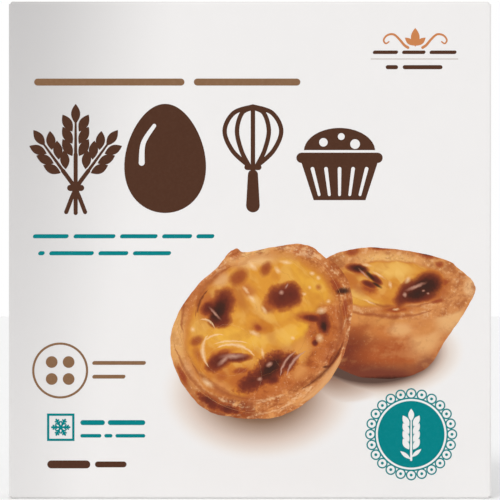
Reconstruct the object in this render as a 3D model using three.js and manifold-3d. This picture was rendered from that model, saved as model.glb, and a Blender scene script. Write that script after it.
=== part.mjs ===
// A shut paperboard carton for frozen tarts, standing upright on its bottom panel.
// One folded and glued board: a tube of front, top, back and bottom panels, closed at both
// ends by an outer flap that hinges on the front panel and lies over the recessed inner flaps.
// Millimetres, +Z up. The front panel faces -Y. The origin is the middle of the base.
import * as THREE from "three";
import { mergeVertices } from "three/addons/utils/BufferGeometryUtils.js";
import Module from "manifold-3d";

// Driving dimensions.
const WIDTH = 165; // across the front panel, over the end flaps
const HEIGHT = 170;
const DEPTH = 42; // between the front and back panels at their creases
const BOARD = 0.5; // board thickness, and so the step at every overlap
const CREASE_RADIUS = 1.0; // outside radius of a fold
const CROWN = 0.6; // how far the front and back panels bulge in the middle
const FLAP_SIDE_GAP = 0.9; // from the outer flap's cut edge to the top or bottom panel
const FLAP_END_GAP = 1.8; // from the outer flap's cut edge to the back panel
const SEAM_GAP = 0.9; // from the bottom panel up to the back panel's cut edge

// How finely the curves are faceted.
const CREASE_STEPS = 3; // facets in half a fold
const PANEL_STEPS = 9; // facets across a crowned panel
const DEPTH_STEPS = 3;

const BEYOND = 5; // how far a cutting block reaches past the carton
const OVERSHOOT = 0.05; // keeps a cutting surface off the face that it runs along

const HALF_WIDTH = WIDTH / 2;
const HALF_DEPTH = DEPTH / 2;

const wasm = await Module();
wasm.setup();

// A closed three.js geometry as a manifold-3d solid.
function solidOf(geometry) {
  const bare = geometry.clone();
  bare.deleteAttribute("normal");
  bare.deleteAttribute("uv");
  const merged = mergeVertices(bare, 1e-4);
  return new wasm.Manifold(
    new wasm.Mesh({
      numProp: 3,
      vertProperties: new Float32Array(merged.attributes.position.array),
      triVerts: new Uint32Array(merged.index.array),
    }),
  );
}

function geometryOf(solid) {
  const mesh = solid.getMesh();
  const geometry = new THREE.BufferGeometry();
  geometry.setAttribute("position", new THREE.BufferAttribute(mesh.vertProperties, 3));
  geometry.setIndex(new THREE.BufferAttribute(mesh.triVerts, 1));
  return geometry;
}

// Places along one side of a box: a fold, even steps across the flat, and the other fold.
function stations(low, high, steps) {
  const fold = Array.from(
    { length: CREASE_STEPS },
    (_, k) => CREASE_RADIUS * (1 - Math.tan((Math.PI / 4) * (1 - k / CREASE_STEPS))),
  );
  const flatLow = low + CREASE_RADIUS;
  const flatHigh = high - CREASE_RADIUS;
  const flat = Array.from(
    { length: steps + 1 },
    (_, k) => flatLow + ((flatHigh - flatLow) * k) / steps,
  );
  return [...fold.map((d) => low + d), ...flat, ...fold.map((d) => high - d).reverse()];
}

// How far the front and back panels stand out at x, z. It is nothing along their edges.
function crownAt(x, z) {
  const across = 1 - (x / HALF_WIDTH) ** 2;
  const up = 1 - (2 * z / HEIGHT - 1) ** 2;
  return CROWN * Math.max(0, across) * Math.max(0, up);
}

// A box with every edge folded to CREASE_RADIUS and crowned panels in front and behind.
function foldedBox(low, high) {
  const places = [
    stations(low.x, high.x, PANEL_STEPS),
    stations(low.y, high.y, DEPTH_STEPS),
    stations(low.z, high.z, PANEL_STEPS),
  ];
  const counts = places.map((along) => along.length - 1);
  const geometry = new THREE.BoxGeometry(1, 1, 1, ...counts);
  const position = geometry.attributes.position;
  const innerLow = low.clone().addScalar(CREASE_RADIUS);
  const innerHigh = high.clone().subScalar(CREASE_RADIUS);
  const point = new THREE.Vector3();
  for (let i = 0; i < position.count; i++) {
    point.fromBufferAttribute(position, i);
    const [x, y, z] = point
      .toArray()
      .map((u, axis) => places[axis][Math.round((u + 0.5) * counts[axis])]);
    point.set(x, y, z);
    const inner = point.clone().clamp(innerLow, innerHigh);
    point.sub(inner).setLength(CREASE_RADIUS).add(inner);
    point.y += Math.sign(point.y) * crownAt(point.x, point.z);
    position.setXYZ(i, point.x, point.y, point.z);
  }
  return solidOf(geometry);
}

function block(low, high) {
  const size = high.clone().sub(low);
  const geometry = new THREE.BoxGeometry(size.x, size.y, size.z);
  const middle = low.clone().add(high).multiplyScalar(0.5);
  return solidOf(geometry.translate(middle.x, middle.y, middle.z));
}

const vector = (x, y, z) => new THREE.Vector3(x, y, z);

// What the outer flaps leave uncovered at both ends, down to the inner flaps' folds.
function uncoveredEnds() {
  const inner = foldedBox(
    vector(-HALF_WIDTH + BOARD, -HALF_DEPTH - OVERSHOOT, -OVERSHOOT),
    vector(HALF_WIDTH - BOARD, HALF_DEPTH + OVERSHOOT, HEIGHT + OVERSHOOT),
  );
  const around = block(
    vector(-HALF_WIDTH - BEYOND, -HALF_DEPTH - BEYOND, -BEYOND),
    vector(HALF_WIDTH + BEYOND, HALF_DEPTH + BEYOND, HEIGHT + BEYOND),
  );
  const underFlaps = block(
    vector(-HALF_WIDTH - BEYOND, -HALF_DEPTH - BEYOND, FLAP_SIDE_GAP),
    vector(HALF_WIDTH + BEYOND, HALF_DEPTH - FLAP_END_GAP, HEIGHT - FLAP_SIDE_GAP),
  );
  const betweenEnds = block(
    vector(-HALF_WIDTH + BEYOND, -HALF_DEPTH - BEYOND, -BEYOND),
    vector(HALF_WIDTH - BEYOND, HALF_DEPTH + BEYOND, HEIGHT + BEYOND),
  );
  return around.subtract(underFlaps).subtract(betweenEnds).subtract(inner);
}

// The step under the back panel's cut edge, where the glue flap folds up inside it.
function seamStep() {
  const glueFlap = foldedBox(
    vector(-HALF_WIDTH - BEYOND, -HALF_DEPTH, -OVERSHOOT),
    vector(HALF_WIDTH + BEYOND, HALF_DEPTH - BOARD, HEIGHT),
  );
  const belowCutEdge = block(
    vector(-HALF_WIDTH - BEYOND, HALF_DEPTH - BEYOND, -BEYOND),
    vector(HALF_WIDTH + BEYOND, HALF_DEPTH + BEYOND, SEAM_GAP),
  );
  return belowCutEdge.subtract(glueFlap);
}

function cartonGeometry() {
  const whole = foldedBox(
    vector(-HALF_WIDTH, -HALF_DEPTH, 0),
    vector(HALF_WIDTH, HALF_DEPTH, HEIGHT),
  );
  return geometryOf(whole.subtract(uncoveredEnds()).subtract(seamStep()));
}

const board = new THREE.MeshStandardMaterial({
  color: new THREE.Color().setRGB(0.94, 0.93, 0.93, THREE.SRGBColorSpace),
  roughness: 0.55,
  metalness: 0,
});

const carton = new THREE.Mesh(cartonGeometry(), board);
carton.name = "carton";

const part = new THREE.Group();
part.add(carton);

export default part;
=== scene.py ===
"""The looks of a shut carton of frozen custard tarts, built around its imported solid.

Lengths are millimetres until metres() turns them into Blender's metres. A place on a panel is
(u, v): u to the right of the panel's middle and v above it, as someone facing the panel sees it.
A picture has places of its own, (x, y), measured from the middle of what it shows.
"""

import math
import random

import bmesh
import bpy
import numpy as np
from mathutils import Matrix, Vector
from mathutils.geometry import delaunay_2d_cdt


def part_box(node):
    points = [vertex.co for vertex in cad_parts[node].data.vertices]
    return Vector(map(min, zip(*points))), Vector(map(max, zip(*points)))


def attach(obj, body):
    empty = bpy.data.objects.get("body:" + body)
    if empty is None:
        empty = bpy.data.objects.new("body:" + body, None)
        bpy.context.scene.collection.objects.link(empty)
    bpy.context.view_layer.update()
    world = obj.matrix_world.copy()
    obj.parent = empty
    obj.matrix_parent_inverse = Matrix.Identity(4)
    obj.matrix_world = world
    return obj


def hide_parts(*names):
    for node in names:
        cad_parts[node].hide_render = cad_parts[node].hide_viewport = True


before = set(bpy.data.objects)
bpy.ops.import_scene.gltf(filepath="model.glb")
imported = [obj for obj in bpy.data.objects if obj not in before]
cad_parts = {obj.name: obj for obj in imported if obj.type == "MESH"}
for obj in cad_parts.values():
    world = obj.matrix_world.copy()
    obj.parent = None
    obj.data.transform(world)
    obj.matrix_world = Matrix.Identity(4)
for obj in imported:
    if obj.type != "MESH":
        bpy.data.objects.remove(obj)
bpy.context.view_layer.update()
BODY = "root"
NODE = "carton"

# The carton. Its outer sizes come from the frame.
MM = 0.001
low_corner, high_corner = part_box(NODE)
WIDTH = (high_corner.x - low_corner.x) / MM
HEIGHT = (high_corner.z - low_corner.z) / MM
DEPTH = 42  # between the front and back panels at their creases
CROWN = ((high_corner.y - low_corner.y) / MM - DEPTH) / 2  # the bulge in the middle of a panel
BOARD = 0.5
CREASE_RADIUS = 1
FLAP_SIDE_GAP = 0.9  # from the outer flap's cut edge to the top or bottom panel
FLAP_END_GAP = 1.8  # from the outer flap's cut edge to the back panel
SEAM_GAP = 0.9  # from the bottom panel up to the back panel's cut edge
HALF_WIDTH = WIDTH / 2
HALF_HEIGHT = HEIGHT / 2
HALF_DEPTH = DEPTH / 2

# How finely the board is faceted.
CREASE_STEPS = 5
PANEL_STEPS = 24
DEPTH_STEPS = 6
CREASE_MARGIN = 0.35  # a narrow row of faces beside each fold, which keeps the panel's shading flat
BEYOND = 5  # how far a cutting block reaches past the carton
OVERSHOOT = 0.05  # keeps a cutting surface off the face that it runs along
WELD = 0.002  # points closer than this are one
SHARP_ANGLE = 32  # degrees, from which an edge is shaded as sharp

# Ink lies in thin closed sheets, partly sunk in the board.
INK_LIFT = 0.03
INK_SINK = 0.06
INK_GRID = 6  # the widest facet of an ink sheet, so that it follows the panel's bulge

# The coated board's fine unevenness.
GRAIN_SCALE = 1800  # per metre
GRAIN_HEIGHT = 0.02
GRAIN_STRENGTH = 0.3

# The studio.
FLOOR_REACH = 3000
FLOOR_THICKNESS = 20
BACKDROP_REACH = 8000
SKY_STRENGTH = 0.76
SUN_ENERGY = 0.86
SUN_SPREAD = 25  # degrees
SUN_DIRECTION = (0.45, 1, -0.95)
CAMERA_DISTANCE = 1100  # from the front creases
VIEW_WIDTH = 170.95  # how much the camera sees at the front creases
SENSOR_WIDTH = 36


def metres(x, y, z):
    return Vector((x, y, z)) * MM


def colour(red, green, blue, cover=1):
    """A linear colour from the usual 0 to 255 values."""
    def linear(value):
        c = value / 255
        return c / 12.92 if c <= 0.04045 else ((c + 0.055) / 1.055) ** 2.4
    return (linear(red), linear(green), linear(blue), cover)


def tones(*stops):
    """A ramp's stops, each given as position, red, green and blue, with its cover last if not 1."""
    return [(position, colour(*shade)) for position, *shade in stops]


def heading(degrees):
    """A step (x, y) of length 1 in that direction."""
    turn = math.radians(degrees)
    return math.cos(turn), math.sin(turn)


# The board's colours, and the inks', each with the paler tone of its mottling.
WHITE_BOARD = colour(238, 236, 235)
GREYER_BOARD = colour(236, 234, 233)
BOARD_SHADE = colour(176, 174, 174)
BOARD_CORE = colour(196, 188, 176)
DARK_CORE = colour(168, 158, 144)
INKS = {"ink_dark_brown": (colour(80, 50, 36), colour(90, 60, 46)),
        "ink_warm_brown": (colour(134, 100, 72), colour(150, 118, 92)),
        "ink_copper": (colour(202, 130, 80), colour(206, 136, 90)),
        "ink_teal": (colour(0, 127, 131), colour(22, 138, 142))}


# ---------------------------------------------------------------- materials

class Paint:
    """One material's node tree, with short ways to make the nodes that a print needs."""

    def __init__(self, name, roughness, specular=0.05):
        self.material = bpy.data.materials.new(name)
        self.material.use_nodes = True
        self.tree = self.material.node_tree
        self.shader = self.tree.nodes["Principled BSDF"]
        self.shader.inputs["Roughness"].default_value = roughness
        self.shader.inputs["Specular IOR Level"].default_value = specular
        self.place = self.node("ShaderNodeTexCoord").outputs["Object"]

    def node(self, kind, *inputs, **settings):
        """A node with its settings, and its first inputs fed in order."""
        made = self.tree.nodes.new(kind)
        for key, value in settings.items():
            setattr(made, key, value)
        for socket, value in zip(made.inputs, inputs):
            self.feed(socket, value)
        return made

    def feed(self, socket, value):
        if isinstance(value, bpy.types.NodeSocket):
            self.tree.links.new(value, socket)
        elif value is not None:
            socket.default_value = value

    def math(self, operation, *inputs):
        return self.node("ShaderNodeMath", *inputs, operation=operation).outputs[0]

    def vector(self, operation, *inputs):
        return self.node("ShaderNodeVectorMath", *inputs, operation=operation).outputs[0]

    def length(self, vector):
        return self.node("ShaderNodeVectorMath", vector, operation="LENGTH").outputs["Value"]

    def split(self, vector):
        return self.node("ShaderNodeSeparateXYZ", vector).outputs

    def join(self, x, y, z):
        return self.node("ShaderNodeCombineXYZ", x, y, z).outputs[0]

    def moved(self, vector, location=(0, 0, 0), turn=0, scale=(1, 1, 1), kind="POINT"):
        """The vector scaled, turned about z by so many degrees and moved. Kind TEXTURE undoes these."""
        made = self.node("ShaderNodeMapping", vector, location, (0, 0, math.radians(turn)), scale,
                         vector_type=kind)
        return made.outputs[0]

    def millimetres(self, u=0, v=-HALF_HEIGHT):
        """The place in millimetres, from the part's own origin or from (u, v) on the front panel."""
        return self.moved(self.place, (-u, 0, -(v + HALF_HEIGHT)), scale=(1 / MM,) * 3)

    def fade(self, value, start, end, low=0, high=1):
        """low at start, high at end, and a smooth step between them."""
        made = self.node("ShaderNodeMapRange", interpolation_type="SMOOTHSTEP")
        for key, given in zip(("Value", "From Min", "From Max", "To Min", "To Max"),
                              (value, start, end, low, high)):
            self.feed(made.inputs[key], given)
        return made.outputs["Result"]

    def noise(self, vector, scale, detail=2, roughness=0.5):
        made = self.node("ShaderNodeTexNoise")
        for key, given in (("Vector", vector), ("Scale", scale), ("Detail", detail),
                           ("Roughness", roughness)):
            self.feed(made.inputs[key], given)
        return made.outputs

    def mix(self, factor, under, over, blend="MIX"):
        made = self.node("ShaderNodeMix", data_type="RGBA", blend_type=blend)
        self.feed(made.inputs[0], factor)
        self.feed(made.inputs[6], under)
        self.feed(made.inputs[7], over)
        return made.outputs[2]

    def ramp(self, value, stops):
        """A colour ramp of (position, colour) stops. A colour's fourth part is its cover."""
        made = self.node("ShaderNodeValToRGB", value)
        elements = made.color_ramp.elements
        while len(elements) < len(stops):
            elements.new(1)
        for element, (position, shade) in zip(elements, stops):
            element.position = position
            element.color = shade
        return made.outputs

    def along(self, place, x, y, a, b, turn):
        """How far the place (.., .., 1) is from (x, y), along a line at turn degrees in lengths of
        a, and across it in lengths of b."""
        c, s = heading(turn)
        weights = ((c / a, s / a, -(x * c + y * s) / a), (-s / b, c / b, (x * s - y * c) / b))
        return [self.node("ShaderNodeVectorMath", place, weight, operation="DOT_PRODUCT").outputs["Value"]
                for weight in weights]

    def spot(self, place, x, y, a, b, turn=0):
        """The distance from (x, y) in an oval's own radii: 1 on the oval with half axes a and b."""
        return self.length(self.join(*self.along(place, x, y, a, b, turn), 0))

    def finish(self, base):
        """Joins the base colour and the board's grain, and hands back the material."""
        grain = self.noise(self.place, GRAIN_SCALE, 3, 0.6)[0]
        self.feed(self.shader.inputs["Base Color"], base)
        bump = self.node("ShaderNodeBump")
        bump.inputs["Strength"].default_value = GRAIN_STRENGTH
        bump.inputs["Distance"].default_value = GRAIN_HEIGHT * MM
        self.feed(bump.inputs["Height"], grain)
        self.feed(self.shader.inputs["Normal"], bump.outputs[0])
        return self.material


# The painted shade, a grey that darkens the front's left side: at its foot, and how much more at its top.
SHADE_REACH = (29, 34)
SHADE_STRENGTH = (0.22, 0.48)


def left_shade(paint, place):
    """How much of that painted shade lies at a place. It runs on round the left crease and dies away along
    the end."""
    x, y, z = paint.split(place)[:3]
    height = paint.math("DIVIDE", z, HEIGHT)
    reach, strength = [paint.math("MULTIPLY_ADD", height, more, least)
                       for least, more in (SHADE_REACH, SHADE_STRENGTH)]
    across = paint.math("DIVIDE", paint.math("ADD", x, HALF_WIDTH), reach)
    sideways = paint.fade(across, 1, 0)
    backwards = paint.fade(y, HALF_DEPTH, -HALF_DEPTH)
    return paint.math("MULTIPLY", paint.math("MULTIPLY", sideways, strength), backwards)


# The warm shadows printed under the pictured tarts: an oval (x, y, a, b) on the front panel, and
# its tones from the middle, at 0, out to the edge, at 1.
REAR_SHADOW = ((42, -34.9, 32.6, 17.4), tones(
    (0.60, 92, 68, 58), (0.66, 150, 124, 110), (0.74, 208, 188, 175), (0.80, 225, 212, 202),
    (0.90, 236, 230, 225), (1, 240, 237, 236, 0)))
CONTACT_SHADOW = ((29.5, -42.6, 21, 11), tones(
    (0.15, 146, 114, 96), (0.40, 178, 152, 136), (0.65, 206, 186, 173), (0.85, 226, 214, 206),
    (1, 240, 237, 236, 0)))
FRONT_SHADOW = ((3.4, -49, 35.2, 24.2), tones(
    (0.30, 112, 82, 66), (0.40, 138, 107, 85), (0.54, 182, 157, 141), (0.69, 217, 198, 186),
    (0.83, 232, 223, 216), (1, 240, 237, 236, 0)))


def printed_and_shaded_board():
    """Off-white coated board with a faint grey drift, painted shade down the front's left side, and the
    shadows under the pictured tarts printed on it.
    """
    paint = Paint("printed_and_shaded_board", roughness=0.46, specular=0.15)
    place = paint.millimetres()
    drift = paint.fade(paint.noise(place, 0.05)[0], 0.3, 0.7, 0, 0.5)
    tone = paint.mix(drift, WHITE_BOARD, GREYER_BOARD)
    # Painted shade: the front's left side greys, most at its top, and the grey runs on round the left
    # crease.
    tone = paint.mix(left_shade(paint, place), tone, BOARD_SHADE)
    x, y, z = paint.split(place)[:3]
    front = paint.fade(y, 2 - HALF_DEPTH, 1 - HALF_DEPTH)
    flat = paint.join(x, paint.math("SUBTRACT", z, HALF_HEIGHT), 1)
    for oval, stops in (REAR_SHADOW, CONTACT_SHADOW, FRONT_SHADOW):
        shadow = paint.ramp(paint.spot(flat, *oval), stops)
        tone = paint.mix(paint.math("MULTIPLY", shadow[1], front), tone, shadow[0], "DARKEN")
    return paint.finish(tone)


def board_core():
    """The raw core that shows at a cut edge."""
    paint = Paint("board_core", roughness=0.8)
    fibres = paint.noise(paint.millimetres(), 3, 3)[0]
    return paint.finish(paint.mix(fibres, BOARD_CORE, DARK_CORE))


def ink(name, shade, paler):
    """Flat printed ink with the press's slight mottling."""
    paint = Paint(name, roughness=0.42)
    mottle = paint.noise(paint.millimetres(), 1.1, 3, 0.6)[0]
    return paint.finish(paint.mix(paint.fade(mottle, 0.35, 0.8, 0, 0.35), shade, paler))


# ---------------------------------------------------------------- the board

def crown_at(x, height):
    """How far the front and back panels stand out. It is nothing along their edges."""
    across = max(0, 1 - (x / HALF_WIDTH) ** 2)
    up = max(0, 1 - (height / HALF_HEIGHT - 1) ** 2)
    return CROWN * across * up


def stations(low, high, steps):
    """Places along one side of a box: a fold, the flat with a narrow row at each end, and a fold."""
    fold = [CREASE_RADIUS * (1 - math.tan(math.pi / 4 * (1 - k / CREASE_STEPS)))
            for k in range(CREASE_STEPS)]
    flat_low = low + CREASE_RADIUS
    flat_high = high - CREASE_RADIUS
    inner_low = flat_low + CREASE_MARGIN
    inner_high = flat_high - CREASE_MARGIN
    flat = [inner_low + (inner_high - inner_low) * k / steps for k in range(steps + 1)]
    ends = [high - d for d in reversed(fold)]
    return [low + d for d in fold] + [flat_low] + flat + [flat_high] + ends


def mesh_object(name, points, faces, material):
    mesh = bpy.data.meshes.new(name)
    mesh.from_pydata([metres(*p) for p in points], [], faces)
    mesh.materials.append(material)
    mesh.validate()
    made = bpy.data.objects.new(name, mesh)
    bpy.context.scene.collection.objects.link(made)
    return made


def weld(mesh):
    """Joins points that all but coincide, and so removes the slivers between them."""
    cage = bmesh.new()
    cage.from_mesh(mesh)
    bmesh.ops.remove_doubles(cage, verts=cage.verts, dist=WELD * MM)
    cage.to_mesh(mesh)
    cage.free()


def grid_box(name, places, material, shape=lambda point: point):
    """A closed box with a row of points at each of the places along x, y and z, and each point
    moved by shape."""
    counts = [len(along) - 1 for along in places]
    index = {}
    faces = []
    for axis in range(3):
        across, up = (axis + 1) % 3, (axis + 2) % 3
        for side in (0, counts[axis]):
            for i in range(counts[across]):
                for j in range(counts[up]):
                    corners = [(i, j), (i + 1, j), (i + 1, j + 1), (i, j + 1)]
                    if side == 0:
                        corners.reverse()
                    face = []
                    for p, q in corners:
                        key = [0, 0, 0]
                        key[axis], key[across], key[up] = side, p, q
                        face.append(index.setdefault(tuple(key), len(index)))
                    faces.append(face)
    points = [shape([places[axis][key[axis]] for axis in range(3)]) for key in index]
    return mesh_object(name, points, faces, material)


def folded_box(name, low, high, material):
    """A box with every edge folded to CREASE_RADIUS and crowned panels in front and behind."""
    places = [stations(low[axis], high[axis], steps)
              for axis, steps in enumerate((PANEL_STEPS, DEPTH_STEPS, PANEL_STEPS))]

    def fold(point):
        inner = Vector(min(max(c, low[axis] + CREASE_RADIUS), high[axis] - CREASE_RADIUS)
                       for axis, c in enumerate(point))
        out = inner + (Vector(point) - inner).normalized() * CREASE_RADIUS
        out.y += math.copysign(crown_at(out.x, out.z), out.y)
        return out

    return grid_box(name, places, material, fold)


def block(name, low, high, material):
    return grid_box(name, list(zip(low, high)), material)


def cut(target, other):
    """Cuts other out of target. It is used up."""
    modifier = target.modifiers.new("cut", "BOOLEAN")
    modifier.operation = "DIFFERENCE"
    modifier.object = other
    modifier.solver = "EXACT"
    modifier.material_mode = "TRANSFER"
    graph = bpy.context.evaluated_depsgraph_get()
    mesh = bpy.data.meshes.new_from_object(target.evaluated_get(graph))
    target.modifiers.clear()
    target.data = mesh
    bpy.data.objects.remove(other)
    return target


def past(x, y, z):
    """The two corners of a box that stands past the carton's by so much on both sides."""
    return (-HALF_WIDTH - x, -HALF_DEPTH - y, -z), (HALF_WIDTH + x, HALF_DEPTH + y, HEIGHT + z)


def uncovered_ends(board, core):
    """What the outer flaps leave uncovered at both ends, down to the inner flaps' folds."""
    around = block("around", *past(BEYOND, BEYOND, BEYOND), core)
    low, high = past(2 * BEYOND, 2 * BEYOND, -FLAP_SIDE_GAP)
    under_flaps = block("under_flaps", low, (high[0], HALF_DEPTH - FLAP_END_GAP, high[2]), core)
    between_ends = block("between_ends", *past(-BEYOND, 2 * BEYOND, 2 * BEYOND), core)
    inner = folded_box("inner", *past(-BOARD, OVERSHOOT, OVERSHOOT), board)
    for kept in (under_flaps, between_ends, inner):
        cut(around, kept)
    return around


def seam_step(board, core):
    """The step under the back panel's cut edge, where the glue flap folds up inside it."""
    below = block("below", (-HALF_WIDTH - BEYOND, HALF_DEPTH - BEYOND, -BEYOND),
                  (HALF_WIDTH + BEYOND, HALF_DEPTH + BEYOND, SEAM_GAP), core)
    glue_flap = folded_box("glue_flap", (-HALF_WIDTH - 2 * BEYOND, -HALF_DEPTH, -OVERSHOOT),
                           (HALF_WIDTH + 2 * BEYOND, HALF_DEPTH - BOARD, HEIGHT), board)
    return cut(below, glue_flap)


def make_board():
    board, core = printed_and_shaded_board(), board_core()
    carton = folded_box("carton_board", *past(0, 0, 0), board)
    cut(carton, uncovered_ends(board, core))
    cut(carton, seam_step(board, core))
    weld(carton.data)
    carton.data.shade_smooth()
    carton.data.set_sharp_from_angle(angle=math.radians(SHARP_ANGLE))
    return carton


# ---------------------------------------------------------------- panels

def on_front(u, v, lift):
    height = v + HALF_HEIGHT
    return u, -HALF_DEPTH - crown_at(u, height) - lift, height


def on_back(u, v, lift):
    height = v + HALF_HEIGHT
    return -u, HALF_DEPTH + crown_at(u, height) + lift, height


def on_right(u, v, lift):
    return HALF_WIDTH + lift, u, v + HALF_HEIGHT


def on_left(u, v, lift):
    return -HALF_WIDTH - lift, -u, v + HALF_HEIGHT


def on_top(u, v, lift):
    return u, v, HEIGHT + lift


def on_bottom(u, v, lift):
    return u, -v, -lift


# ---------------------------------------------------------------- outlines
# A shape is a list of closed outlines. Those that run anticlockwise hold ink, and those that run
# clockwise are holes in it.

def disc(u, v, radius, steps=48):
    compass = [heading(360 * k / steps) for k in range(steps)]
    return [[(u + radius * x, v + radius * y) for x, y in compass]]


def rectangle(u0, v0, u1, v1):
    return [[(u0, v0), (u1, v0), (u1, v1), (u0, v1)]]


def hole(shape):
    return [list(reversed(outline)) for outline in shape]


def ring(u, v, radius, width, steps=72):
    """A ring whose middle line has that radius."""
    return disc(u, v, radius + width / 2, steps) + hole(disc(u, v, radius - width / 2, steps))


def smooth_path(points, steps=10):
    """A curve through the points."""
    padded = [points[0]] + list(points) + [points[-1]]
    out = []
    for a, b, c, d in zip(padded, padded[1:], padded[2:], padded[3:]):
        for k in range(steps):
            t = k / steps
            out.append(tuple(
                0.5 * (2 * q + (r - p) * t + (2 * p - 5 * q + 4 * r - s) * t ** 2
                       + (3 * q - p - 3 * r + s) * t ** 3)
                for p, q, r, s in zip(a, b, c, d)))
    out.append(tuple(points[-1]))
    return out


def stroke(path, width, end_width=None):
    """A line with round ends along a path. Its width may change on the way."""
    end_width = width if end_width is None else end_width
    last = len(path) - 1
    left, right = [], []
    for k, (u, v) in enumerate(path):
        before, after = path[max(k - 1, 0)], path[min(k + 1, last)]
        along = Vector(after) - Vector(before)
        aside = Vector((-along.y, along.x)).normalized() * (width + (end_width - width) * k / last) / 2
        left.append((u + aside.x, v + aside.y))
        right.append((u - aside.x, v - aside.y))
    ends = disc(*path[0], width / 2, 20) + disc(*path[-1], end_width / 2, 20)
    return [right + left[::-1]] + ends


def bar(u0, u1, v, height, lean=0):
    """A level bar with round ends."""
    flat = stroke([(u0 + height / 2, v), (u1 - height / 2, v)], height)
    return [[(x + lean * (y - v), y) for x, y in outline] for outline in flat]


def line(v, height, *spans, lean=0):
    """Bars at one level, each from u0 to u1, which stand where a line of words was."""
    return [bar(u0, u1, v, height, lean) for u0, u1 in spans]


def leaf(u, v, length, width, turn):
    """A pointed leaf or grain that starts at (u, v) and points along turn degrees."""
    c, s = heading(turn)
    steps = 14
    right, left = [], []
    for k in range(steps + 1):
        t = k / steps
        half = width / 2 * math.sin(math.pi * t) ** 0.9
        right.append((t * length, -half))
        left.append((t * length, half))
    points = right + left[-2:0:-1]
    return [[(u + x * c - y * s, v + x * s + y * c) for x, y in points]]


def turned(shapes, degrees):
    """The shapes turned about (0, 0)."""
    c, s = heading(degrees)
    return [[[(c * x - s * y, s * x + c * y) for x, y in outline] for outline in shape]
            for shape in shapes]


def placed(shapes, u, v, scale=1):
    """Copies of the shapes at another place and size."""
    return [[[(u + x * scale, v + y * scale) for x, y in outline] for outline in shape]
            for shape in shapes]


def crossings(places, outline):
    """How many times the outline winds round each of the places."""
    winding = np.zeros(len(places), int)
    px, py = places[:, 0], places[:, 1]
    for (ax, ay), (bx, by) in zip(outline, outline[1:] + outline[:1]):
        side = (bx - ax) * (py - ay) - (px - ax) * (by - ay)
        winding += (ay <= py) & (by > py) & (side > 0)
        winding -= (ay > py) & (by <= py) & (side < 0)
    return winding


def holds(places, shapes):
    """Which of the places any of the shapes covers."""
    inside = np.zeros(len(places), bool)
    for shape in shapes:
        inside |= sum(crossings(places, outline) for outline in shape) != 0
    return inside


def triangles_of(shapes, bare):
    """Triangles that fill the shapes but not what is bare, with points on the ink grid too."""
    points, edges = [], []
    for shape in shapes + bare:
        for outline in shape:
            first, count = len(points), len(outline)
            points += outline
            edges += [(first + k, first + (k + 1) % count) for k in range(count)]
    low, high = np.min(points, axis=0), np.max(points, axis=0)
    grid = [np.arange(math.ceil(low[k] / INK_GRID), high[k] / INK_GRID) * INK_GRID for k in (0, 1)]
    points += [(u, v) for u in grid[0] for v in grid[1]]
    found = delaunay_2d_cdt([Vector(p) for p in points], edges, [], 0, 1e-4)
    places, faces = np.array([tuple(p) for p in found[0]]), np.array(found[2])
    middles = places[faces].mean(axis=1)
    kept = holds(middles, shapes) & ~holds(middles, bare)
    return places, faces[kept]


def ink_sheet(name, panel, shapes, material, bare=()):
    """The shapes printed on a panel in one ink, as thin closed sheets in one object."""
    places, faces = triangles_of(list(shapes), list(bare))
    used = sorted(set(faces.ravel()))
    order = {place: k for k, place in enumerate(used)}
    faces = [[order[place] for place in face] for face in faces]
    count = len(used)
    points = [panel(*places[k], lift) for lift in (INK_LIFT, -INK_SINK) for k in used]
    sides = {(a, b) for face in faces for a, b in zip(face, face[1:] + face[:1])}
    rims = [(a, b) for a, b in sides if (b, a) not in sides]
    walls = [[b, a, a + count, b + count] for a, b in sorted(rims)]
    backs = [[k + count for k in reversed(face)] for face in faces]
    sheet = mesh_object(name, points, faces + backs + walls, material)
    weld(sheet.data)
    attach(sheet, BODY)
    return sheet


# ---------------------------------------------------------------- small pictures in one ink
# Each is drawn about (0, 0) in units of its own, and placed() gives it its size.

SIGN_HEIGHT = 37  # of the upright bakery signs, in their units
TART_SIGN_WIDTH = 30
SNOWFLAKE_SIZE = 8


def wheat_head(x, y, lean, size, pairs):
    """Pairs of kernels and one at the tip, up from (x, y) where a stem ends, leaning to the right
    by so many degrees."""
    head = [stroke([(0, 0), (0, 5.6 * pairs)], 1.5, 0.9)]
    for k in range(pairs):
        for side in (-1, 1):
            head.append(leaf(1.5 * side, 5.6 * k, 9, 4.4, 90 - 30 * side))
    head.append(leaf(0, 5.6 * pairs - 2, 9.1, 4.2, 90))
    return placed(turned(head, -lean), x, y, size)


def wheat_ear():
    """An ear of wheat with two leaves."""
    return [stroke([(0, -18.5), (0, -10.5)], 1.6, 1.5), leaf(-0.4, -18, 9.5, 2.8, 142),
            leaf(0.4, -16.4, 9, 2.8, 40), *wheat_head(0, -11, 0, 1, 4)]


def sheaf():
    """Three ears of wheat, tied where their stems cross."""
    shapes = [bar(-2.9, 2.9, -10, 2.1), stroke([(0, -18.5), (0, 1.3)], 1.4),
              *wheat_head(0, 0.8, 0, 0.74, 3)]
    for side in (-1, 1):
        stem = smooth_path([(-3.2 * side, -18.2), (0, -10.4), (4.3 * side, -4.2)])
        shapes += [stroke(stem, 1.4), *wheat_head(4.2 * side, -4.3, 36 * side, 0.72, 3)]
    return shapes


def egg():
    """An egg, with what is left bare for its shine."""
    outline = [(0.74 * x * (1 - 0.16 * y), y) for x, y in (heading(360 * k / 64) for k in range(64))]
    shine = stroke(smooth_path([(-0.43, -0.08), (-0.4, 0.28), (-0.2, 0.6)]), 0.11, 0.07)
    return [placed(shapes, 0, 0, SIGN_HEIGHT / 2) for shapes in ([[outline]], [shine])]


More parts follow.
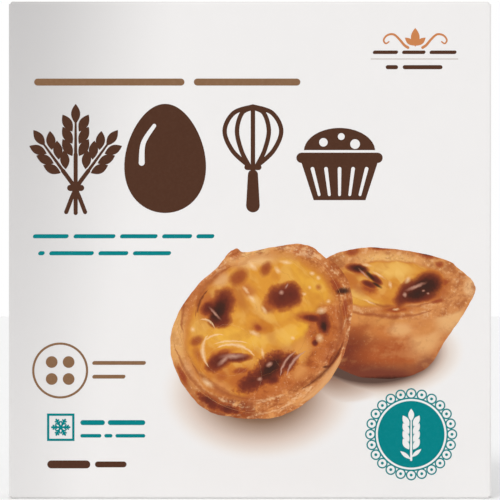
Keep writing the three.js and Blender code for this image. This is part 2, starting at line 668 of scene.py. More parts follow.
def whisk():
    """A balloon whisk, handle down."""
    shapes = [stroke([(0, -16), (0, -5.5)], 4.6, 3.4), bar(-2.9, 2.9, -3, 1.9)]
    for reach, top in ((9.6, 17.6), (5.4, 17.2)):
        for side in (-1, 1):
            wire = [(1.3 * side, -2.6), (0.72 * reach * side, 2.6), (reach * side, 9.4),
                    (0.68 * reach * side, 15.4), (0, top)]
            shapes.append(stroke(smooth_path(wire), 1.5))
    shapes.append(stroke([(0, -2.6), (0, 17.2)], 1.5))
    return shapes


def tart_sign():
    """A fluted tart seen from the side, with what is left bare in it."""
    case = [[(-9, -14.5), (9, -14.5), (13.2, -1.6), (-13.2, -1.6)]]
    dome = [[(12.4 * x, 2.4 + 8.2 * y) for x, y in (heading(6 * k) for k in range(31))]]
    rim = bar(-15, 15, 0.2, 3.6)
    flutes = [stroke([(0.98 * x, -3.6), (0.74 * x, -12.6)], 1.3, 1) for x in (-9.6, -4.8, 0, 4.8, 9.6)]
    spots = [disc(-5.6, 5.6, 1.5, 24), disc(0.6, 7.6, 1.2, 24), disc(5.4, 5, 1.7, 24)]
    return [case, dome, rim], flutes + spots + [rectangle(-16, 2, 16, 2.9)]


def sign_row(wheat, height, tart_width, *places):
    """The wheat, an egg, a whisk and a tart at four places (u, v), and what is left bare in them."""
    scales = [height / SIGN_HEIGHT] * 3 + [tart_width / TART_SIGN_WIDTH]
    signs, bare = [], []
    for (drawn, left), place, scale in zip(((wheat, []), egg(), (whisk(), []), tart_sign()), places, scales):
        signs += placed(drawn, *place, scale)
        bare += placed(left, *place, scale)
    return signs, bare


def snowflake():
    """Six arms with two pairs of twigs each."""
    shapes = []
    for turn in range(0, 360, 60):
        x, y = heading(turn)
        shapes.append(stroke([(0, 0), (4 * x, 4 * y)], 0.9))
        for reach, twig in ((1.6, 1.3), (2.7, 1.1)):
            for side in (-50, 50):
                dx, dy = heading(turn + side)
                path = [(reach * x, reach * y), (reach * x + twig * dx, reach * y + twig * dy)]
                shapes.append(stroke(path, 0.7))
    return shapes


def square_ring(u, v, size, width):
    def square(reach):
        return rectangle(u - reach, v - reach, u + reach, v + reach)
    return square(size / 2) + hole(square(size / 2 - width))


def frozen_sign(u, v, size=9.4, width=0.8, flake=6):
    """The common sign for frozen food: a snowflake in a square."""
    return [square_ring(u, v, size, width)] + placed(snowflake(), u, v, flake / SNOWFLAKE_SIZE)


def clock():
    hands = [stroke([(0, 0), (0, 0.62)], 0.16), stroke([(0, 0), (0.42, -0.2)], 0.16)]
    return [ring(0, 0, 1, 0.14)] + hands


def oven():
    knobs = [disc(x, 0.66, 0.1, 16) for x in (-0.5, 0, 0.5)]
    return [square_ring(0, 0, 2, 0.14), square_ring(0, -0.18, 1.1, 0.12)] + knobs


def thermometer():
    marks = [bar(1.6, 3.2, level, 0.6) for level in (0, 1.8, 3.6)]
    return [disc(0, -3.2, 1.7, 24), stroke([(0, -3), (0, 4.8)], 1.5)] + marks


def scroll(side):
    """A curl that swells and runs out to one side, and turns in on itself at the end."""
    path = [(2.5, -3), (3.8, -2.1), (5.4, -0.2), (7.4, 1.5), (9.6, 1.2), (10.8, -0.4), (10.1, -1.6), (9, -1)]
    return stroke(smooth_path([(side * x, y) for x, y in path], 6), 0.95, 0.45)


# ---------------------------------------------------------------- the print on the front

def print_crest(name, panel, u, v, inks):
    """A leaf between two scrolls, over two lines of bars and a rule."""
    brown, warm, copper, _ = inks
    curls = [scroll(-1), scroll(1), leaf(0, -2.7, 6.4, 3, 90), leaf(-0.3, -2.3, 4.2, 1.9, 140),
             leaf(0.3, -2.3, 4.2, 1.9, 40)]
    ink_sheet(name, panel, placed(curls, u, v), copper)
    lines = line(-4.6, 1.2, (-14.5, -5.9), (-4.5, 3.5), (4.9, 14.1), lean=0.2)
    lines += line(-9.7, 1.4, (-10.1, -5.9), (-4.3, 9.3))
    ink_sheet(name + "_bars", panel, placed(lines, u, v), brown)
    ink_sheet(name + "_rule", panel, placed(line(-6.9, 0.14, (-15.3, 14.7)), u, v), warm)


def print_front(inks):
    brown, warm, _, teal = inks

    # Four bakery signs stand in the places of the heading's letters, and are as tall.
    level = 31.3
    signs, bare = sign_row(sheaf(), 37.3, 29.5, (-59.6, level), (-29, level), (1, level), (30.6, level))
    ink_sheet("heading_signs", on_front, signs, brown, bare)

    # Bars stand for the words.
    ink_sheet("subheading_bars", on_front, line(57.4, 2.4, (-73.8, -22.4), (-19.2, 17.2)), warm)
    slogan = line(4.7, 1.4, (-74.2, -62), (-60.3, -46), (-44.4, -31.6), (-30, -19.8), (-18.3, -12.2),
                  lean=0.25)
    slogan += line(-1.1, 1.4, (-72.4, -70.2), (-68.6, -53.4), (-51.8, -41.6), (-40, -27), lean=0.25)
    ink_sheet("slogan_bars", on_front, slogan, teal)

    # The ring with four discs for the four pieces, and its two lines.
    counted = [disc(-64.9 + du, -41.2 + dv, 2) for du in (-2.9, 2.9) for dv in (-2.9, 2.9)]
    counted += [ring(-64.9, -41.2, 9.2, 0.75)]
    counted += line(-38.6, 1.3, (-53.9, -35.6), lean=0.2) + line(-43.3, 1.3, (-53.9, -42.6), lean=0.2)
    ink_sheet("count_sign", on_front, counted, warm)

    # The frozen sign and its two lines, and the weight line.
    frost = frozen_sign(-64.7, -60.6) + line(-59, 1.7, (-58, -49.6), (-48.6, -35.8))
    frost += line(-63.5, 1.2, (-58, -50.8), (-49.8, -47), (-46, -35.8))
    ink_sheet("frozen_sign", on_front, frost, teal)
    weight = line(-73.3, 2.7, (-69.3, -54.6)) + line(-73.3, 2, (-53, -42.2))
    ink_sheet("weight_bars", on_front, weight, brown)

    print_crest("crest", on_front, 56.5, 72.2, inks)

    # The round seal: an ear of wheat left bare in a disc, and a rim of small rings with dots.
    seal = (55.1, -63)
    rim = [ring(*seal, 12.35, 0.5)]
    for turn in range(0, 360, 15):
        x, y = heading(turn)
        place = (seal[0] + 13.95 * x, seal[1] + 13.95 * y)
        rim += [ring(*place, 1.6, 0.45, 24), disc(*place, 0.5, 12)]
    ink_sheet("seal", on_front, [disc(*seal, 11.4, 96)] + rim, teal,
              placed(wheat_ear(), *seal, 17.5 / SIGN_HEIGHT))


# ---------------------------------------------------------------- the print on the other panels

TEXT_HEIGHT = 1
TEXT_STEP = 3.1  # from a line down to the next
WORD_GAP = 1.2


def words(draw, u0, u1, v):
    """A line of bars of uneven lengths, as text looks from afar."""
    bars = []
    u = u0
    while u < u1 - 2.5:
        length = min(draw.uniform(3, 11), u1 - u)
        bars.append(bar(u, u + length, v, TEXT_HEIGHT))
        u += length + WORD_GAP
    return bars


def paragraph(draw, u0, u1, v, lines):
    bars = []
    for k in range(lines):
        end = u1 if k < lines - 1 else u0 + 0.6 * (u1 - u0)
        bars += words(draw, u0, end, v - TEXT_STEP * k)
    return bars


def print_back(inks):
    brown, warm, _, teal = inks
    draw = random.Random(7)
    ink_sheet("back_heading_bars", on_back, line(72, 3, (-73, -34), (-31, 2)), warm)
    signs, bare = sign_row(wheat_ear(), 22, 17.38, (-66, 54), (-47.5, 54), (-29.5, 54), (-9.5, 54))
    ink_sheet("back_signs", on_back, signs, brown, bare)
    print_crest("back_crest", on_back, 56.5, 72.2, inks)

    # Two columns: paragraphs on the left, and a ruled table on the right.
    titles = line(35, 2, (-73, -49)) + line(6.5, 2, (-73, -44)) + line(-22, 2, (-73, -52))
    ink_sheet("back_titles", on_back, titles + line(35, 2, (8, 40)), teal)
    text = paragraph(draw, -73, -2, 30, 6) + paragraph(draw, -73, -2, 1.5, 6)
    ink_sheet("back_text", on_back, text, brown)
    rows, row, top = 10, 5.4, 30.5
    rules = [bar(8, 73, top - row * k, 0.3) for k in range(rows + 1)]
    rules += [rectangle(u - 0.15, top - row * rows, u + 0.15, top) for u in (8, 42, 58, 73)]
    ink_sheet("back_table_rules", on_back, rules, warm)
    cells = []
    for k in range(rows):
        for start, shortest, longest in ((10.5, 22, 38), (46, 50, 54.5), (62, 65, 69.5)):
            cells.append(bar(start, draw.uniform(shortest, longest), top - row * (k + 0.5), 1.2))
    ink_sheet("back_table_bars", on_back, cells, brown)

    # How to bake: three ringed signs, each over two bars.
    rings, steps = [], []
    for u, sign, scale in ((-62, oven(), 4.2), (-38, thermometer(), 1), (-14, clock(), 4.7)):
        rings += [ring(u, -35, 8.2, 0.5)] + placed(sign, u, -35, scale)
        steps += [bar(u - 8, u + 8, -47.5, 1.4), bar(u - 5, u + 5, -51, 1.4)]
    ink_sheet("back_baking_signs", on_back, rings, warm)
    ink_sheet("back_baking_bars", on_back, steps, brown)

    # The frozen sign and its lines, the small print, and the weight line.
    frost = frozen_sign(-68, -66) + line(-64.4, 2, (-61, -50), (-49, -36)) + line(-68.9, 1.4, (-61, -40))
    ink_sheet("back_frozen_sign", on_back, frost, teal)
    small_print = paragraph(draw, 8, 73, -34, 7) + line(-66, 3.4, (8, 22.7)) + line(-66, 2.4, (24.3, 35.1))
    ink_sheet("back_small_print", on_back, small_print, brown)


def print_end(name, panel, inks):
    brown, warm, _, teal = inks
    signs, bare = sign_row(wheat_ear(), 21, 16.59, (-8.8, 15), (8.4, 15), (-8.8, -12), (8.4, -12))
    tart, tart_bare = tart_sign()
    signs += placed(tart, 0, 62, 27 / TART_SIGN_WIDTH)
    bare += placed(tart_bare, 0, 62, 27 / TART_SIGN_WIDTH)
    ink_sheet(name + "_signs", panel, signs, brown, bare)
    heading_bars = line(41, 2.6, (-14.5, 14.5)) + line(35.8, 1.6, (-9.5, 9.5))
    ink_sheet(name + "_heading_bars", panel, heading_bars, warm)
    frost = frozen_sign(-11.3, -43, 8, 0.7, 5.2) + line(-41.6, 1.7, (-5.2, 15)) + line(-45.4, 1.2, (-5.2, 9))
    ink_sheet(name + "_frozen_sign", panel, frost, teal)
    ink_sheet(name + "_bars", panel, line(-60, 3, (-14.6, 1.4)) + line(-60, 2.2, (3, 13.4)), brown)


def print_top(inks):
    brown, warm, _, teal = inks
    signs, bare = sign_row(wheat_ear(), 23, 18.17, (-66, 0), (-46.5, 0), (-27.5, 0), (-7, 0))
    ink_sheet("top_signs", on_top, signs, brown, bare)
    ink_sheet("top_heading_bars", on_top, line(6, 3, (10, 48), (51, 73)), warm)
    slogan = line(-3, 1.9, (10, 24), (25.6, 42), (43.6, 57), lean=0.25)
    ink_sheet("top_slogan_bars", on_top, slogan + line(-8.4, 1.9, (10, 30), lean=0.25), teal)


def print_bottom(inks):
    """A ruled field for the date, left bare, beside a few lines of small print."""
    brown, warm, _, teal = inks
    field = [bar(-66, -14, v, 0.3) for v in (9, 2.4, -9)]
    field += [stroke([(u, -9), (u, 9)], 0.3) for u in (-66, -14)]
    ink_sheet("bottom_date_field", on_bottom, field, warm)
    ink_sheet("bottom_heading_bars", on_bottom, line(5.7, 1.7, (-63, -38), (-36.4, -24)), teal)
    ink_sheet("bottom_small_print", on_bottom, paragraph(random.Random(11), -4, 66, 7.4, 5), brown)


# ---------------------------------------------------------------- the pictured tarts
# Where the middles of the two pictures are on the front panel, and their outlines about them.

FRONT_TART = (3.83, -27.7)
REAR_TART = (51.3, -17.1)
FRONT_OUTLINE = (
    (31.1, 6), (30.3, 15.5), (26.3, 22.2), (21.7, 25.2), (17.6, 28.6), (12, 29.8), (2.5, 28.4),
    (-5.6, 26.9), (-8.4, 28.2), (-11.4, 26.4), (-14.9, 21.9), (-22, 15.4), (-28.6, 5.6), (-31.1, -3.5),
    (-29.6, -12.5), (-24.8, -21.2), (-18.4, -27.2), (-10.8, -29.3), (-1, -30), (8.4, -28.4),
    (19.6, -20.9), (27.6, -9.6))
REAR_OUTLINE = (
    (-29, 4), (-26.5, 12.8), (-21, 16.2), (-13.1, 17.8), (-7.4, 17.9), (4.6, 16.5), (16, 13.6),
    (20.2, 10.6), (24.4, 7), (25.8, 3.6), (24.2, -0.4), (20.8, -6.2), (18.3, -9.8), (14.8, -14.9),
    (11.8, -20.2), (8.4, -23.7), (2.3, -26.2), (-6.4, -26.9), (-16.9, -25.2), (-25, -18))
FLAKING = 0.0022  # the outlines' fine unevenness, as a share of their reach
FRONT_RIM = (33.5, 27, 39)  # the half axes and turn of the oval that the front tart's layers follow

CRUST = colour(198, 122, 68)
REAR_CRUST = colour(204, 134, 78)
DARK_LAYER = colour(146, 68, 34)
REAR_DARK_LAYER = colour(158, 84, 48)
PALE_LAYER = colour(240, 194, 144)
DARK_WALL = colour(150, 72, 40)
PALE_WALL = colour(224, 160, 100)
HOLLOW = colour(150, 70, 34)
FLAKE = colour(228, 160, 96)
ROUGH_SKIN = colour(190, 108, 54)
BAKED_EDGE = colour(184, 98, 46)
CUSTARD = colour(219, 149, 56)
REAR_CUSTARD = colour(214, 144, 56)
DEEP_CUSTARD = colour(194, 112, 44)
PALE_CUSTARD = colour(238, 190, 104)
FOLD_SHADE = colour(196, 116, 44)
FOLD_LIGHT = colour(242, 198, 112)

# What is laid over the pastry and custard: tones from the middle of a field, at 0, out to where it
# ends, at 1.
SCORCH = tones((0, 94, 44, 34), (0.45, 114, 50, 36), (0.66, 138, 64, 38, 0.97), (0.84, 172, 88, 42, 0.75),
               (1, 200, 116, 48, 0))
BROWN = tones((0, 148, 64, 38, 0.95), (0.5, 158, 74, 40, 0.85), (0.8, 182, 98, 44, 0.45),
              (1, 204, 124, 50, 0))
FOLD = tones((0, 156, 80, 44, 0.75), (0.5, 172, 94, 50, 0.5), (1, 194, 118, 64, 0))
TAN = tones((0, 172, 88, 44, 0.85), (0.5, 184, 100, 46, 0.6), (1, 202, 122, 50, 0))
CHAR = tones((0, 58, 38, 32), (0.45, 66, 38, 30, 0.9), (0.75, 92, 44, 32, 0.5), (1, 120, 56, 36, 0))
GLINT = tones((0, 250, 216, 174, 0.7), (0.5, 244, 200, 146, 0.45), (1, 236, 180, 112, 0))
PALE_SIDE = tones((0, 226, 168, 112, 0.9), (0.6, 220, 158, 102, 0.7), (1, 204, 134, 80, 0))
DULL_GLINT = tones((0, 206, 160, 138, 0.85), (0.5, 182, 130, 110, 0.6), (1, 150, 84, 64, 0))
CRACK = tones((0, 108, 50, 32, 0.9), (0.5, 134, 68, 40, 0.6), (1, 170, 94, 54, 0))


def flaky_outline(points):
    """A smooth closed outline through the points, uneven like the edge of flaky pastry."""
    around = [points[-1], *points, *points[:2]]
    steps = 8
    curve = smooth_path(around, steps)[steps:steps * (len(points) + 1)]
    middle = Vector(np.mean(points, axis=0))
    out = []
    for k, place in enumerate(curve):
        turn = 2 * math.pi * k / len(curve)
        ripple = math.sin(23 * turn) + 0.7 * math.sin(41 * turn + 1) + 0.5 * math.sin(67 * turn)
        out.append(tuple(middle + (Vector(place) - middle) * (1 + FLAKING * ripple)))
    return [out]


class Picture(Paint):
    """The paint of a picture on the front panel. A place in it is (x, y, 1), and a field is a
    distance from there: 1 where the field ends."""

    def flat_place(self, u, v):
        """The place in a picture whose middle is at (u, v)."""
        x, _, z = self.split(self.millimetres(u, v))[:3]
        return self.join(x, z, 1)

    def warped(self, place, scale, reach):
        """The place, pushed about by up to reach so that what is drawn there has uneven edges."""
        push = self.vector("SUBTRACT", self.noise(place, scale, 3, 0.55)[1], (0.5, 0.5, 0.5))
        return self.vector("ADD", place, self.vector("MULTIPLY", push, (reach, reach, 0)))

    def relief(self, place, scale, towards, detail=3):
        """Light and shade on an uneven surface: above nothing where it faces the light."""
        there = self.noise(self.vector("ADD", place, (*towards, 0)), scale, detail, 0.55)[0]
        return self.math("SUBTRACT", self.noise(place, scale, detail, 0.55)[0], there)

    def arc(self, place, x, y, radius, width, middle, spread):
        """A field along part of a circle: a line that is width wide in the middle and thins to
        nothing at both ends. Angles are degrees."""
        out, aside = self.along(place, x, y, 1, 1, middle)
        share = self.math("DIVIDE", self.math("ARCTAN2", aside, out), math.radians(spread))
        thinning = self.math("MULTIPLY_ADD", self.math("MULTIPLY", share, share), -1, 1)
        thin = self.math("MAXIMUM", thinning, 0.02)
        gap = self.math("ABSOLUTE", self.math("SUBTRACT", self.length(self.join(out, aside, 0)), radius))
        return self.math("DIVIDE", gap, self.math("MULTIPLY", thin, width / 2))

    def nearest(self, first, *others):
        for distance in others:
            first = self.math("MINIMUM", first, distance)
        return first

    def arcs(self, place, *arcs):
        return self.nearest(*[self.arc(place, *arc) for arc in arcs])

    def ovals(self, place, *ovals):
        return self.nearest(*[self.spot(place, *oval) for oval in ovals])

    def spots(self, place, first, *others):
        """Ovals of which close ones run together."""
        distance = self.spot(place, *first)
        for oval in others:
            distance = self.math("SMOOTH_MIN", distance, self.spot(place, *oval), 0.3)
        return distance

    def lay(self, tone, stops, ragged, distance):
        """Lays the stops' tones over the tone in a field. Ragged is the place, scale and reach of
        the noise that makes the field's edge uneven, or None."""
        if ragged:
            place, scale, reach = ragged
            push = self.math("MULTIPLY_ADD", self.noise(place, scale, 4, 0.6)[0], reach, -reach / 2)
            distance = self.math("ADD", distance, push)
        ramp = self.ramp(distance, stops)
        return self.mix(ramp[1], tone, ramp[0])

    def washes(self, tone, place, *fields):
        """Soft oval fields of colour, each x, y, a, b, turn, red, green and blue."""
        for *oval, red, green, blue in fields:
            cover = self.fade(self.spot(place, *oval), 1.3, 0.35)
            tone = self.mix(cover, tone, colour(red, green, blue))
        return tone

    def layered(self, tone, value, dark, pale, cover):
        """Darker where the value is low and paler where it is high."""
        tone = self.mix(self.fade(value, 0.48, 0.30, 0, cover), tone, dark)
        return self.mix(self.fade(value, 0.52, 0.70, 0, cover), tone, pale)

    def mottled(self, tone, place, scale, cover, flecks=0.5):
        """Red-brown hollows and pale flecks of flaky pastry."""
        clumps = self.noise(place, scale, 5, 0.62)[0]
        tone = self.mix(self.fade(clumps, 0.50, 0.36, 0, cover), tone, HOLLOW)
        tone = self.mix(self.fade(clumps, 0.54, 0.66, 0, cover), tone, FLAKE)
        return self.mix(self.fade(self.noise(place, 1.1, 2)[0], 0.60, 0.75, 0, flecks), tone, PALE_LAYER)

    def folded(self, tone, place, turn, cover):
        """Soft creases in the custard's skin, drawn out along one direction: lit, with a browner
        side."""
        folds = self.noise(self.moved(place, turn=turn, scale=(9, 3.8, 1), kind="TEXTURE"), 1, 1.5, 0.5)[0]
        tone = self.mix(self.fade(folds, 0.47, 0.36, 0, cover), tone, FOLD_SHADE)
        return self.mix(self.fade(folds, 0.55, 0.66, 0, cover), tone, FOLD_LIGHT)


def front_crust(paint, loose, tight):
    """Pastry in layers that run round the rim, pale at the left and scorched low on the left."""
    tone = paint.washes(
        CRUST, loose, (-29, -2, 5.5, 15, 8, 223, 164, 98), (-23, -15, 5, 9, 38, 212, 146, 84),
        (-19, 18.5, 12, 5, 42, 194, 118, 68), (-3, 26, 10, 4, 10, 232, 180, 116),
        (11, 25, 9, 5, -18, 214, 148, 86), (24, 17, 8, 6, -50, 186, 110, 60),
        (28, 2, 4, 12, 0, 190, 114, 66), (25, -8, 5, 7, -35, 182, 104, 62),
        (14, -20, 10, 5, 40, 204, 132, 76), (-6, -23, 9, 4, -8, 170, 98, 60),
        (4, -24, 8, 4, 8, 200, 126, 72), (-16.6, -25, 8, 3, -35, 130, 66, 46),
        (-9, -26.6, 9, 3.4, -14, 138, 74, 50), (-26.5, -16, 1.6, 5, 28, 160, 92, 54),
        (-9.6, 26.6, 3.4, 2.4, 0, 186, 108, 62), (13.6, 28, 5, 3, -20, 186, 110, 64),
        (-23.8, -12.6, 3, 3.6, 30, 222, 164, 110))
    inner = paint.join(*paint.along(loose, 0, 0, *FRONT_RIM), 0)
    around = paint.vector("MULTIPLY", paint.vector("NORMALIZE", inner), (2.6, 2.6, 0))
    outward = paint.join(0, 0, paint.math("MULTIPLY", paint.length(inner), 16))
    layers = paint.noise(paint.vector("ADD", around, outward), 1, 4, 0.6)[0]
    streaks = paint.math("MULTIPLY_ADD", paint.relief(tight, 0.55, (-0.5, 0.7)), 0.45, layers)
    cover = paint.fade(paint.split(loose)[0], -25, -13, 0.22, 0.66)
    tone = paint.layered(tone, streaks, DARK_LAYER, PALE_LAYER, cover)
    return paint.mottled(tone, tight, 0.26, cover)


def front_custard(paint, place, loose):
    """Glossy custard in soft folds, bright where it lies open and browner towards the pastry."""
    tone = paint.washes(
        CUSTARD, place, (-12, -16, 12, 6, -12, 198, 118, 50), (18, -6, 5, 9, -20, 194, 116, 60),
        (8, -9, 9, 5, 40, 196, 122, 62))
    tone = paint.washes(
        tone, loose, (-21, 1, 4, 5, 0, 221, 160, 74), (-18, 9, 4, 6, -20, 186, 106, 56),
        (-7.6, 12, 7, 2.6, -68, 194, 120, 52), (-8, -2.2, 13, 3.6, -4, 234, 176, 70),
        (15.6, 17, 10, 4.6, -42, 227, 166, 62), (17.4, 8.6, 2.8, 6, 0, 220, 154, 56),
        (9, 5.6, 9, 1.6, 20, 222, 156, 58), (12, -0.6, 8, 3.8, 26, 232, 170, 58),
        (2.4, 0.6, 8, 2, -66, 202, 126, 44), (-1.8, 9.4, 6.4, 1.7, -54, 230, 172, 92),
        (0.4, 5.4, 5, 1.2, -30, 228, 168, 84))
    relief = paint.relief(loose, 0.13, (-1.4, 1.8), 1)
    value = paint.math("MULTIPLY_ADD", relief, 0.7, paint.noise(loose, 0.16, 2, 0.5)[0])
    tone = paint.layered(tone, value, DEEP_CUSTARD, PALE_CUSTARD, 0.3)
    tone = paint.folded(tone, loose, -50, 0.2)
    rough = paint.ovals(loose, (21.6, -1.6, 6.4, 12.4, -12), (8, -17.6, 17, 7.4, 32))
    rough_skin = paint.mottled(ROUGH_SKIN, loose, 0.26, 0.75)
    tone = paint.mix(paint.fade(rough, 1.15, 0.8), tone, rough_skin)
    return paint.washes(
        tone, loose, (13, -7.6, 3.4, 6.4, -30, 220, 152, 74), (14, -15.4, 3.4, 3.8, 0, 214, 144, 80),
        (-14, 17.6, 3.8, 2.8, 40, 222, 166, 108), (-2.6, 24.4, 8.6, 3, 8, 234, 184, 122),
        (-4.4, 14.2, 3.4, 2.4, -50, 198, 120, 58), (-14, -19.6, 4.4, 2.6, -30, 216, 146, 84))


def front_tart():
    paint = Picture("print_front_tart", roughness=0.42)
    place = paint.flat_place(*FRONT_TART)
    loose = paint.warped(place, 0.2, 2.6)
    tight = paint.warped(place, 0.8, 0.8)
    edge = paint.spot(loose, 0, 1.6, 27.4, 22.4, 38)
    crust, custard = front_crust(paint, loose, tight), front_custard(paint, place, loose)
    tone = paint.mix(paint.fade(edge, 1.08, 0.94), crust, custard)

    # Brown where the custard meets the pastry, and the paler and darker scorches.
    rim = paint.math("ABSOLUTE", paint.math("SUBTRACT", edge, 1))
    tone = paint.mix(paint.fade(rim, 0.09, 0, 0, 0.4), tone, BAKED_EDGE)
    tone = paint.lay(tone, TAN, (place, 0.4, 0.55), paint.spots(
        place, (-1, 1.2, 4.2, 3.2, -30), (-13.6, -15.6, 4, 3), (19.6, 15, 1.4, 1.4), (18.6, -3.4, 2.4, 3),
        (-21.6, -8, 2.4, 4.6, 30), (-13, -7, 6, 1.2, 10), (-6, -16, 9, 4.4, 25)))
    tone = paint.lay(tone, BROWN, (place, 0.4, 0.55), paint.spots(
        place, (-7.6, 18.4, 4.6, 3.4, 42), (-22.2, -3.4, 3.4, 2.2, 25), (1.6, 21.2, 2.4, 3.4, -30),
        (16.6, 4.6, 6, 2.6, -8), (18.6, -3.4, 2, 2.4), (3, 8.6, 3.6, 3.2, 30), (-1, 1.2, 2, 1.5, -30)))
    tone = paint.lay(tone, BROWN, (tight, 0.7, 1), paint.ovals(
        place, (-27, -14.8, 1.5, 5, 26), (28.6, 8, 1.6, 5, -6), (25.6, 15.6, 2, 4.6, 36),
        (-7, -13.6, 3.6, 1.4, 10)))
    tone = paint.lay(tone, SCORCH, (place, 0.4, 0.55), paint.spots(
        place, (-13.2, 8.8, 5, 7.4, -20), (-17.8, 7.8, 4, 2.8, 20), (-14.2, 4, 5, 3.6),
        (7.2, 11.6, 7, 5.4, 14), (10, 12.6, 4.8, 5), (-14.5, -10.4, 6, 3.6, 32), (-8.4, -9.2, 6, 1.9, 4),
        (21.4, 2.6, 3, 5.2, 8), (17.4, 4.4, 4.8, 1.6, -8), (25, -9, 1.4, 4, -30), (18.4, -4, 1.4, 1.5)))
    tone = paint.lay(tone, SCORCH, (tight, 0.55, 1), paint.spots(
        place, (3.2, -12.8, 8.8, 5.6, 42), (-2.6, -17, 8, 4, 26), (9.4, -10.4, 3.6, 4.4, -30),
        (3.6, -16.4, 3.2, 2.6, 20), (-17.8, -24, 5.8, 2.4, -38), (-11.4, -26.6, 5.6, 2.2, -12)))
    tone = paint.lay(tone, CHAR, (tight, 0.9, 0.5), paint.ovals(
        place, (-14.6, 6.8, 3.2, 6.4, -28), (3.2, -12.8, 6.8, 3.2, 46), (28, 13.7, 3.2, 1.5, 6),
        (21.4, 1.6, 1.5, 2.4, 10), (22.4, -12.2, 1.8, 0.6, 8)))

    # Cracks and creases.
    tone = paint.lay(tone, FOLD, (tight, 0.5, 1.1), paint.arcs(
        loose, (-3, 4, 19.4, 3.4, 144, 34), (-2.4, 3, 24.8, 2.6, 160, 30), (0, 3, 27.4, 3, -8, 24),
        (-1, 4, 27.4, 3.4, 240, 28), (-0.4, 2.6, 30, 2, 222, 30)))
    tone = paint.lay(tone, CRACK, (tight, 0.6, 0.8), paint.arcs(
        tight, (-11.5, 6.4, 10.1, 1.4, 157, 26), (0.5, 6.5, 29.4, 2.6, 318, 22)))

    # The pale underside of the rim, low on the right, and the light on the wrinkled skin.
    tone = paint.lay(tone, PALE_SIDE, None, paint.arc(place, -1, 2, 30, 4.2, -40, 22))
    tone = paint.lay(tone, GLINT, (tight, 0.5, 0.9), paint.arcs(
        tight, (-11.2, -6.6, 8.8, 2, 182, 40), (-14, -9, 7.8, 1.1, 110, 30),
        (-10.4, -15.1, 10.5, 1.8, 78, 40), (-9.9, -23, 19.6, 1.1, 92, 18), (-19.8, 0, 4, 0.9, 60, 50)))
    tone = paint.lay(tone, GLINT, (tight, 1.2, 0.5), paint.ovals(
        tight, (-2.3, -0.8, 2.6, 1.1, -25), (-5.2, 14, 2.2, 0.8, -50), (-3.1, 11, 2.4, 1.1, -50),
        (1, 7.2, 2, 0.8, -60), (-3, 22.3, 2.8, 1.2, -50), (5.6, 20.7, 2, 1.1, -50),
        (8.5, 23.5, 2.8, 0.9, -8), (17.4, 19.7, 1.2, 0.9), (19.5, 18.2, 1, 0.9), (16.5, 14.9, 0.8, 0.8),
        (14.7, 12.6, 1, 0.8), (23, 10.2, 1.1, 0.8), (20.6, 7, 2.4, 1.5, 15), (20, -2.4, 1.6, 1.9),
        (10.8, -2.4, 1, 0.9), (0.5, -7.4, 2.4, 0.7, -80), (-23.4, 0.6, 1.3, 1.1),
        (-18.4, -17.8, 3.2, 1.4, -35)))
    tone = paint.lay(tone, DULL_GLINT, None, paint.arcs(
        tight, (17.4, -16.5, 11, 1.3, 147, 28), (20.5, -17.7, 12, 1.5, 142, 27)))
    tone = paint.lay(tone, DULL_GLINT, None, paint.ovals(
        tight, (-9.6, -8.6, 5.6, 1.3, 4), (-12.6, -9.8, 3.8, 1.1, 42), (-15.8, 6, 3.6, 0.6, -48),
        (6.9, 13.2, 1.2, 1), (8.7, 15.4, 1.4, 0.5, 65), (-0.5, -16.4, 1.2, 0.9), (2.8, -11.4, 1.6, 1, 30)))
    return paint.finish(tone)


def rear_wall(paint, loose, tight):
    """The tart's side: golden at the upper right, red-brown where it turns down into the shade."""
    tone = paint.washes(
        CRUST, loose, (-6, -6.4, 17, 5, 6, 211, 142, 78), (-15, -9, 6, 8, 0, 178, 96, 50),
        (-3, -11, 10, 3, 2, 200, 120, 62), (-16, -20, 12, 10, -25, 118, 54, 38),
        (-2, -18, 14, 6, 6, 172, 88, 46), (9, -22.4, 5, 4, 30, 152, 90, 60),
        (-14, -6, 6, 3, 0, 212, 140, 76), (9, -13.6, 7, 5, 42, 222, 164, 106),
        (0, -10.2, 5, 2.6, 0, 224, 166, 108), (9.6, -9.6, 6, 2.6, 24, 206, 134, 74),
        (17.5, -6, 6, 6, 40, 226, 172, 114), (-8, -2.8, 16, 1.8, 0, 214, 148, 76))
    bands = paint.noise(paint.moved(loose, turn=6.875, scale=(0.06, 0.2, 1)), 1, 3, 0.5)[0]
    value = paint.math("MULTIPLY_ADD", paint.relief(tight, 0.3, (-0.6, 0.8)), 0.4, bands)
    tone = paint.layered(tone, value, DARK_WALL, PALE_WALL, 0.26)
    tone = paint.mottled(tone, tight, 0.24, 0.22, 0.1)
    return paint.washes(tone, loose, (-7, -26.8, 20, 5.4, 2, 120, 60, 44))


def rear_crust(paint, loose, tight):
    """The flaky rim above the wall, palest behind the filling and at its right end."""
    tone = paint.washes(
        REAR_CRUST, loose, (-4, 13.8, 11, 2.8, -2, 232, 178, 108), (-21, 13, 6, 3, 25, 178, 110, 62),
        (12, 12.5, 6, 2.6, -25, 212, 150, 92), (14, 2.5, 3, 4, 0, 176, 108, 70),
        (20, 2, 5, 5, 0, 208, 140, 84), (24, 4.4, 2.6, 4, 0, 226, 174, 122))
    relief = paint.relief(tight, 0.55, (-0.5, 0.7))
    value = paint.math("MULTIPLY_ADD", relief, 0.5, paint.noise(loose, 0.3, 4, 0.6)[0])
    tone = paint.layered(tone, value, REAR_DARK_LAYER, PALE_LAYER, 0.4)
    return paint.mottled(tone, loose, 0.24, 0.5)


